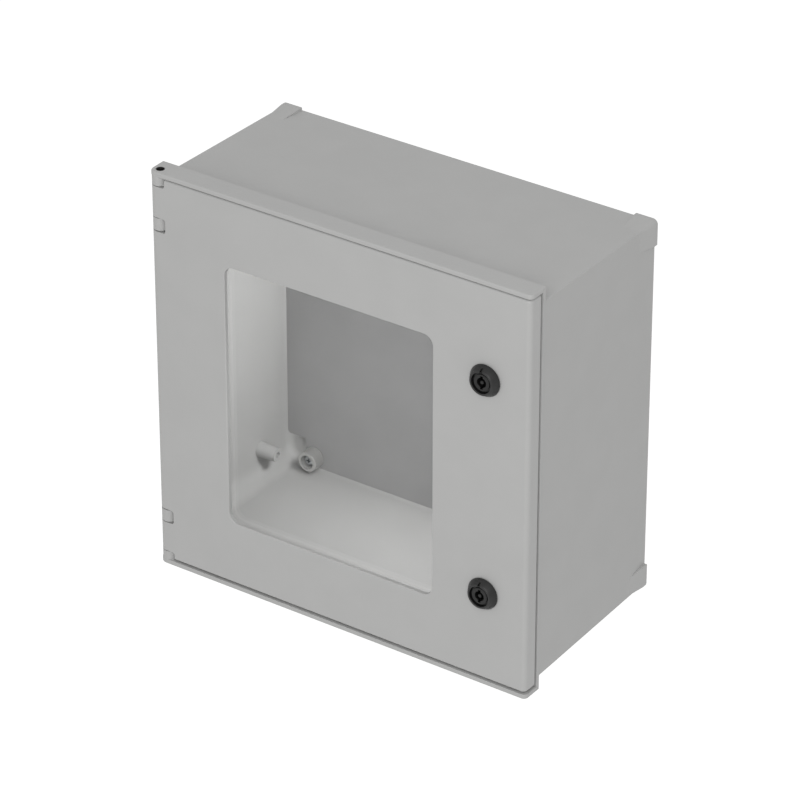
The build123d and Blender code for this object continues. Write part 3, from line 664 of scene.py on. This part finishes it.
for word, (x, z), rear, head_front in lock_places():
    low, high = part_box("lock_core_" + word)
    core_rear = -high.y / MM
    front = head_front - CORE_SETBACK
    shoulder = core_rear + CAM_THICKNESS
    collar = head_front - RECESS_DEPTH + COLLAR_GAP
    core = turned("lock_core_moulded_" + word, (x, z), [
        (0, front - SOCKET_DEPTH),
        (SOCKET_RADIUS, front - SOCKET_DEPTH),
        (SOCKET_RADIUS, front, 0.4),
        (CORE_RADIUS, front, 0.4),
        (CORE_RADIUS, collar + COLLAR_THICKNESS),
        (COLLAR_RADIUS, collar + COLLAR_THICKNESS, 0.25),
        (COLLAR_RADIUS, collar),
        (CORE_RADIUS, collar),
        (CORE_RADIUS, shoulder, 0.3),
        (0, shoulder),
    ], steps=96)
    width, span, depth = (size * MM for size in WINGS)
    combine(core, block((width, 2 * depth, span), (x, -front * MM, z)), "DIFFERENCE")
    pin = turned("key_pin", (x, z), [
        (0, front - SOCKET_DEPTH - OVERLAP),
        (PIN_RADIUS, front - SOCKET_DEPTH - OVERLAP),
        (PIN_RADIUS, front - PIN_SETBACK, 0.5),
        (0, front - PIN_SETBACK),
    ])
    combine(core, pin, "UNION")
    square = block((SQUARE * MM, (CAM_THICKNESS + OVERLAP) * MM, SQUARE * MM),
                   (x, -(shoulder + core_rear + OVERLAP) / 2 * MM, z))
    combine(core, square, "UNION")
    hole = turned("hole", (x, z), [
        (0, core_rear - OVERLAP),
        (CAM_SCREW_HOLE, core_rear - OVERLAP),
        (CAM_SCREW_HOLE, core_rear + CAM_SCREW_LENGTH),
        (0, core_rear + CAM_SCREW_LENGTH),
    ])
    combine(core, hole, "DIFFERENCE")
    settle(core, "lock_core_" + word)
    print(core.name, len(core.data.polygons), "faces")

# %% [markdown]
# Nuts and hexagon heads start as a cylinder with six sides. Turning bevels their corners, so
# the six sides are intersected with a turned blank, which leaves the curved edge that every
# real hexagon has. A screw's head and its threaded shank are then joined.

# %% Lock nuts and cam screws
NUT_WIDTH = 26.0
NUT_CLEARANCE = 0.05  # round the barrel
NUT_FACE = 0.5  # how far inside the flats the bevel begins
NUT_BEVEL = 1.4  # how far along the corners it reaches
NUT_BLANK_RADIUS = NUT_WIDTH / 2 / math.cos(math.radians(30)) + 0.2  # past the corners
CAM_SCREW_HEAD = 4.0
CAM_SCREW_HEAD_WIDTH = 10.0
CAM_SCREW_FACE = 0.2
CAM_SCREW_BEVEL = 0.8
CAM_SCREW_BLANK_RADIUS = CAM_SCREW_HEAD_WIDTH / 2 + 1
CAM_SCREW_RADIUS = 2.5
CAM_SCREW_NECK = 0.3
CAM_SCREW_PITCH = 0.8
CAM_SCREW_GROOVE = 0.4
CAM_SCREW_POINT = 0.6
SLIVER = 0.01  # how far a blank stands past a face that it leaves alone


def hexagon(across_flats, centre, rear, front):
    """Six sides round an axis that points at the wall, with a corner to the left and right."""
    bpy.ops.object.select_all(action="DESELECT")
    bpy.ops.mesh.primitive_cylinder_add(
        vertices=6,
        radius=across_flats / 2 / math.cos(math.radians(30)) * MM,
        depth=(front - rear) * MM,
        location=(centre[0], -(front + rear) / 2 * MM, centre[1]),
        rotation=(math.radians(90), math.radians(30), 0),
    )
    piece = bpy.context.object
    bpy.ops.object.transform_apply(location=True, rotation=True, scale=True)
    return piece


for word, centre, rear, front in lock_places():
    low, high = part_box("lock_nut_" + word)
    nut_rear, nut_front = -high.y / MM, -low.y / MM
    nut = hexagon(NUT_WIDTH, centre, nut_rear, nut_front)
    nut.name = "lock_nut_moulded_" + word
    bore = BARREL_RADIUS + NUT_CLEARANCE
    blank = turned("blank", centre, [
        (bore, nut_rear - SLIVER),
        (NUT_WIDTH / 2 - NUT_FACE, nut_rear - SLIVER, 0.3),
        (NUT_BLANK_RADIUS, nut_rear + NUT_BEVEL),
        (NUT_BLANK_RADIUS, nut_front + SLIVER),
        (bore, nut_front + SLIVER),
        (bore, nut_rear - SLIVER),
    ], steps=96)
    combine(nut, blank, "INTERSECT")
    settle(nut, "lock_nut_" + word)

    low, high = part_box("cam_screw_" + word)
    head_end, tip = -high.y / MM, -low.y / MM
    seat = head_end + CAM_SCREW_HEAD
    screw = hexagon(CAM_SCREW_HEAD_WIDTH, centre, head_end, seat)
    screw.name = "cam_screw_turned_" + word
    blank = turned("blank", centre, [
        (0, head_end - SLIVER),
        (CAM_SCREW_HEAD_WIDTH / 2 - CAM_SCREW_FACE, head_end - SLIVER, 0.2),
        (CAM_SCREW_BLANK_RADIUS, head_end + CAM_SCREW_BEVEL),
        (CAM_SCREW_BLANK_RADIUS, seat + SLIVER),
        (0, seat + SLIVER),
    ])
    combine(screw, blank, "INTERSECT")
    thread = threaded(CAM_SCREW_RADIUS, seat + CAM_SCREW_NECK, tip - CAM_SCREW_PITCH,
                      CAM_SCREW_PITCH, CAM_SCREW_GROOVE)
    shank = turned("shank", centre, [
        (0, seat - OVERLAP / 2),
        (CAM_SCREW_RADIUS, seat - OVERLAP / 2),
        *thread,
        (CAM_SCREW_RADIUS, tip - CAM_SCREW_POINT),
        (CAM_SCREW_RADIUS - CAM_SCREW_POINT, tip),
        (0, tip),
    ])
    combine(screw, shank, "UNION")
    settle(screw, "cam_screw_" + word)
    print(nut.name, len(nut.data.polygons), "faces")
    print(screw.name, len(screw.data.polygons), "faces")

# %% [markdown]
# The cross-recess screws are cold-headed: a slightly domed head with a soft rim, a recess
# whose four wings narrow towards the bottom, and a rolled thread. One screw of each kind is
# modelled at its first place, and the others are copies of it with meshes of their own.
# The curves of a head are shares of its radius and height, so that they suit every size.

# %% Cross-recess screws
CLIP_SPACING_X = 130.0  # between the two clips above or below the window
CLIP_SPACING_Z = 150.0  # between the two beside it
KEEPER_SCREW_SPACING = 28.0
PLATE_SCREW = dict(head_radius=5.8, head_height=4.2, radius=3.0, pitch=1.0, cross=(3.2, 1.5))
KEEPER_SCREW = dict(head_radius=3.6, head_height=2.4, radius=2.0, pitch=0.7, cross=(2.1, 1.0))
CLIP_SCREW = dict(head_radius=3.5, head_height=2.4, radius=1.7, pitch=0.6, cross=(2.0, 0.9))
CROSS_DEPTH = 0.7  # of the head's height
CROSS_NARROWED = (0.5, 1, 0.5)  # at its bottom


def cross_screw(name, centre, seat, tip, head_radius, head_height, radius, pitch, cross):
    """A pan-head screw between two depths. cross is the reach and width of its recess."""
    out = 1 if seat > tip else -1
    top = seat + out * head_height
    screw = turned(name, centre, [
        (0, top),
        (head_radius * 0.55, top - out * head_height * 0.05),
        (head_radius, top - out * head_height * 0.25, head_radius * 0.3),
        (head_radius, seat, head_radius * 0.06),
        (radius, seat),
        *threaded(radius, seat - out * pitch, tip + out * radius * 0.5, pitch, pitch * 0.45),
        (radius, tip + out * radius * 0.4),
        (radius * 0.6, tip),
        (0, tip),
    ])
    reach, width = (size * MM for size in cross)
    depth = head_height * CROSS_DEPTH * MM
    for size in ((2 * reach, 2 * depth, width), (width, 2 * depth, 2 * reach)):
        blade = block(size, (centre[0], -top * MM, centre[1]), towards=(0, out, 0),
                      narrowed=CROSS_NARROWED)
        combine(screw, blade, "DIFFERENCE")
    return screw


def set_of_screws(first, places, node):
    """Copies a screw from the first of its places to the others, and settles them all."""
    screws = [first]
    for x, z in places[1:]:
        pick(first)
        bpy.ops.object.duplicate()
        bpy.ops.transform.translate(value=(x - places[0][0], 0, z - places[0][1]))
        screws.append(bpy.context.object)
    for number, screw in enumerate(screws, 1):
        screw.name = f"{node}_{number}"
        settle(screw, node)
    print(node, len(screws), "screws of", len(first.data.polygons), "faces")


low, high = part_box("plate_screws")
head = PLATE_SCREW["head_radius"] * MM
plate_places = []
for x in (low.x + head, high.x - head):
    plate_places += [(x, z) for z in (low.z + head, high.z - head)]
seat = -low.y / MM - PLATE_SCREW["head_height"]
screw = cross_screw("plate_screw", plate_places[0], seat, -high.y / MM, **PLATE_SCREW)
set_of_screws(screw, plate_places, "plate_screws")

low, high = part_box("keeper_screws")
keeper_places = []
for word, centre, rear, front in lock_places():
    for side in (-1, 1):
        height = centre[1] + side * KEEPER_SCREW_SPACING / 2 * MM
        keeper_places.append(((low.x + high.x) / 2, height))
seat = -low.y / MM - KEEPER_SCREW["head_height"]
screw = cross_screw("keeper_screw", keeper_places[0], seat, -high.y / MM, **KEEPER_SCREW)
set_of_screws(screw, keeper_places, "keeper_screws")

low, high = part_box("window_clip_screws")
head = CLIP_SCREW["head_radius"] * MM
middle = (low + high) / 2
clip_places = []
for side in (low.x + head, high.x - head):
    clip_places += [(side, end * CLIP_SPACING_Z / 2 * MM) for end in (-1, 1)]
for side in (low.z + head, high.z - head):
    clip_places += [(middle.x + end * CLIP_SPACING_X / 2 * MM, side) for end in (-1, 1)]
seat = -high.y / MM + CLIP_SCREW["head_height"]
screw = cross_screw("clip_screw", clip_places[0], seat, -low.y / MM, **CLIP_SCREW)
set_of_screws(screw, clip_places, "window_clip_screws")

# %% [markdown]
# Cams, keepers, clips and washers are blanked from sheet and tumbled, which takes the sharp
# edges off. Their outlines are already right, so each starts as a copy of its own solid: its
# loose triangles are merged, flat faces become one face each, and a bevel softens the edges
# that stay.

# %% Blanked plates
TUMBLED_EDGE = 0.3
FLAT_ANGLE = math.radians(1)
EDGE_ANGLE = math.radians(40)


def tumbled(node, edge):
    """A copy of a node's solid with softened edges, in place of the node."""
    pick(frame["nodes"][node])
    bpy.ops.object.duplicate()
    piece = bpy.context.object
    piece.parent = None
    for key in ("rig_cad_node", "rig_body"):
        del piece[key]
    piece.name = node + "_tumbled"
    bpy.ops.object.mode_set(mode="EDIT")
    bpy.ops.mesh.select_all(action="SELECT")
    bpy.ops.mesh.customdata_custom_splitnormals_clear()
    bpy.ops.mesh.remove_doubles(threshold=SEAM)
    bpy.ops.mesh.dissolve_limited(angle_limit=FLAT_ANGLE)
    bpy.ops.object.mode_set(mode="OBJECT")
    reshape(piece, "BEVEL", width=edge * MM, segments=2, limit_method="ANGLE",
            angle_limit=EDGE_ANGLE)
    settle(piece, node)
    return piece


for node in ("lock_cam_upper", "lock_cam_lower", "keeper_upper", "keeper_lower",
             "cam_washer_upper", "cam_washer_lower", "window_clips"):
    plate = tumbled(node, TUMBLED_EDGE)
    print(plate.name, len(plate.data.polygons), "faces")

# %% [markdown]
# The door's gasket is foamed straight into its channel. It rises as a soft bead with a skin,
# and the housing's tongue has pressed a shallow line along its crown. The bead is a rounded
# frame that is extruded from the skin of the door and then inset again and again, each time
# a little higher, and at the end a little lower for the pressed line.

# %% Foamed gasket
BEAD_WIDTH = 8.0
BEAD_CORNER = 19.5  # outer radius of the frame's corners
BEAD_WALL = 1.2  # where the channel's ribs hold it straight
# Each step of the bead goes so far inwards and so far away from the door.
BEAD_ROUND = ((0.25, 0.8), (0.45, 0.75), (0.7, 0.55), (0.9, 0.3), (0.5, 0.06))
BEAD_PRESSED = ((0.35, -0.25), (0.35, -0.15))

low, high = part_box("door_gasket")
facing_the_wall = (math.radians(-90), 0, 0)
bpy.ops.object.select_all(action="DESELECT")
bpy.ops.mesh.primitive_plane_add(size=1, location=(0, low.y, 0), rotation=facing_the_wall)
bead = bpy.context.object
bead.name = "door_gasket_foamed"
bead.scale = (high.x - low.x, high.z - low.z, 1)
bpy.ops.object.transform_apply(location=True, rotation=True, scale=True)
bpy.ops.object.mode_set(mode="EDIT")
bpy.ops.mesh.select_mode(type="VERT")
bpy.ops.mesh.select_all(action="SELECT")
bpy.ops.mesh.bevel(offset=BEAD_CORNER * MM, segments=12, affect="VERTICES")
bpy.ops.mesh.inset(thickness=BEAD_WIDTH * MM, depth=0)
bpy.ops.mesh.delete(type="FACE")
bpy.ops.mesh.select_mode(type="FACE")
bpy.ops.mesh.select_all(action="SELECT")
bpy.ops.mesh.extrude_region_move(TRANSFORM_OT_translate={"value": (0, BEAD_WALL * MM, 0)})
for inwards, away in BEAD_ROUND + BEAD_PRESSED:
    bpy.ops.mesh.inset(thickness=inwards * MM, depth=away * MM)
bpy.ops.mesh.select_all(action="SELECT")
bpy.ops.mesh.normals_make_consistent(inside=False)
bpy.ops.object.mode_set(mode="OBJECT")
settle(bead, "door_gasket")
bead_size = [round(size / MM, 1) for size in bead.dimensions]
print(bead.name, len(bead.data.polygons), "faces", bead_size)

# %% [markdown]
# The box hangs on a wall in use, so the floor lies well below it and only catches a soft
# shadow. Seen directly, mirrored or through the pane, floor and world are as white as a
# studio sweep. That comes from Light Path in their own shaders, and never from more light
# on the object.
#
# A white studio mirrored in the pane would lay a veil over the inside, which the photograph
# doesn't have. A photographer puts a dark card where the pane mirrors it. Light Path does the
# same here: a ray that a perfectly smooth face has mirrored sees a dark room. Only the pane
# is that smooth.

# %% Floor and world
FLOOR_DROP = 0.5
FLOOR_SIZE = 30.0
FLOOR_GLOW = 0.55
ROOM_LIGHT = 0.6


def seen_directly(tree):
    """1 for rays from the camera, mirrored rays and rays through glass, otherwise 0."""
    ray = add(tree, "LightPath", {})
    mirrored = add(tree, "Math", {
        0: ray.outputs["Is Camera Ray"], 1: ray.outputs["Is Glossy Ray"]
    }, operation="MAXIMUM")
    through = add(tree, "Math", {
        0: mirrored.outputs["Value"], 1: ray.outputs["Is Transmission Ray"]
    }, operation="MAXIMUM")
    return through.outputs["Value"]


def mirrored_by_the_pane(tree):
    """1 for rays that a perfectly smooth face has mirrored, otherwise 0."""
    ray = add(tree, "LightPath", {})
    return add(tree, "Math", {
        0: ray.outputs["Is Singular Ray"], 1: ray.outputs["Glossy Depth"]
    }, operation="MINIMUM").outputs["Value"]


bpy.ops.mesh.primitive_plane_add(
    size=FLOOR_SIZE, location=(0, 0, cad_low.z - FLOOR_DROP)
)
floor = bpy.context.object
floor.name = "studio_floor"
paper = bpy.data.materials.new("white studio paper")
paper.use_nodes = True
tree = paper.node_tree
tree.nodes.clear()
glow = add(tree, "Math", {0: seen_directly(tree), 1: FLOOR_GLOW}, operation="MULTIPLY")
matt = add(tree, "BsdfDiffuse", {"Color": linear("#e6e6e6")})
lit = add(tree, "Emission", {"Color": linear("#ffffff"), "Strength": glow.outputs["Value"]})
both = add(tree, "AddShader", {0: matt.outputs["BSDF"], 1: lit.outputs["Emission"]})
card = add(tree, "BsdfDiffuse", {"Color": linear("#0a0a0a")})
shown = add(tree, "MixShader", {
    0: mirrored_by_the_pane(tree), 1: both.outputs["Shader"], 2: card.outputs["BSDF"]
})
finish_material(tree, shown.outputs["Shader"])
floor.data.materials.append(paper)
floor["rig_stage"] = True

world = bpy.data.worlds.new("studio")
bpy.context.scene.world = world
world.use_nodes = True
tree = world.node_tree
tree.nodes.clear()
strength = add(tree, "MapRange", {
    "Value": seen_directly(tree), "To Min": ROOM_LIGHT, "To Max": 1.0
})
without_card = add(tree, "Math", {
    0: strength.outputs["Result"], 1: mirrored_by_the_pane(tree)
}, operation="SUBTRACT", use_clamp=True)
room = add(tree, "Background", {
    "Color": linear("#ffffff"), "Strength": without_card.outputs["Value"]
})
add(tree, "OutputWorld", {"Surface": room.outputs["Background"]})
print("floor at z =", round(floor.location.z, 3), "room light", ROOM_LIGHT)

# %% [markdown]
# The light in the photograph is almost even: the door is the lightest side, the top comes
# next and the right side is a little darker. The room's own light and one wide soft lamp, in
# front and a little to the right and above, give that order.
#
# The inside of the box would be much darker than its outside, because the room only reaches
# it through the window. A small lamp hidden behind the door's upper right corner lifts the
# left wall and the bottom, a wide, weak one behind the pane lifts the plate evenly, and a
# point of light in the middle of the window reaches the cut edge round it. Light linking
# keeps each to its own pieces, and lets only the box and the door block it, so that the
# plate, the locks and what holds the pane throw no hard shadows.

# %% Lamps
KEY_LAMP = 36.0
KEY_PLACE = (1.15, -2.35, 1.45)
KEY_SIZE = (1.8, 1.8)
WALLS_LAMP = 1.32
WALLS_PLACE = (0.12, -0.135, 0.14)
WALLS_TARGET = (-0.2, -0.1, -0.12)
WALLS_SIZE = (0.1, 0.06)
PLATE_LAMP = 0.35
PLATE_PLACE = (0, -0.172, 0)
PLATE_SIZE = (0.36, 0.36)
EDGE_LAMP = 0.12
EDGE_PLACE = (-0.009, -0.195, 0)
EDGE_LAMP_RADIUS = 1 * MM


def soft_lamp(name, place, target, size, power):
    """An area lamp of a width and a height that faces a target."""
    bpy.ops.object.light_add(type="AREA", location=place)
    lamp = bpy.context.object
    lamp.name = name
    lamp.data.shape = "RECTANGLE"
    lamp.data.size, lamp.data.size_y = size
    lamp.data.energy = power
    aim = Vector(target) - Vector(place)
    lamp.rotation_euler = aim.to_track_quat("-Z", "Y").to_euler()
    return lamp


def keep_inside(lamp, receivers):
    """Hides a lamp, lets it light some nodes only, and lets only box and door block it."""
    lamp.visible_camera = False
    lamp.visible_glossy = False
    for use, nodes in (("receiver", receivers), ("blocker", ("housing", "door"))):
        group = bpy.data.collections.new(f"{lamp.name}_{use}s")
        for node in nodes:
            group.objects.link(bpy.data.objects[node])
        setattr(lamp.light_linking, f"{use}_collection", group)


soft_lamp("key_lamp", KEY_PLACE, (0, 0, 0), KEY_SIZE, KEY_LAMP)
walls_lamp = soft_lamp("walls_lamp", WALLS_PLACE, WALLS_TARGET, WALLS_SIZE, WALLS_LAMP)
keep_inside(walls_lamp, ("housing",))
plate_lamp = soft_lamp("plate_lamp", PLATE_PLACE, (0, 0, 0), PLATE_SIZE, PLATE_LAMP)
keep_inside(plate_lamp, ("mounting_plate",))
bpy.ops.object.light_add(type="POINT", radius=EDGE_LAMP_RADIUS, location=EDGE_PLACE)
edge_lamp = bpy.context.object
edge_lamp.name = "edge_lamp"
edge_lamp.data.energy = EDGE_LAMP
keep_inside(edge_lamp, ("door",))

# %% [markdown]
# The camera stands where the photographer's did. Its place and focal length come from the
# perspective of the box's own edges: almost 35 degrees to the right, 30 degrees up and about
# 4.1 m away, with a long lens.

# %% Camera
CAMERA_PLACE = (2.0028, -2.9689, 2.0127)
CAMERA_AZIMUTH = math.radians(34.925)
CAMERA_ELEVATION = math.radians(30.042)
LENS = 205.6
SENSOR_WIDTH = 36

bpy.ops.object.camera_add(location=CAMERA_PLACE)
camera = bpy.context.object
camera.name = "camera"
camera.rotation_euler = (math.radians(90) - CAMERA_ELEVATION, 0, CAMERA_AZIMUTH)
camera.data.lens = LENS
camera.data.sensor_width = SENSOR_WIDTH
bpy.context.scene.camera = camera
bpy.context.scene.view_settings.view_transform = "Standard"
print("camera lens", LENS, "mm")

# %% Sizes and the end
low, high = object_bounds()
print("shown box:", [round(x, 4) for x in low], [round(x, 4) for x in high])
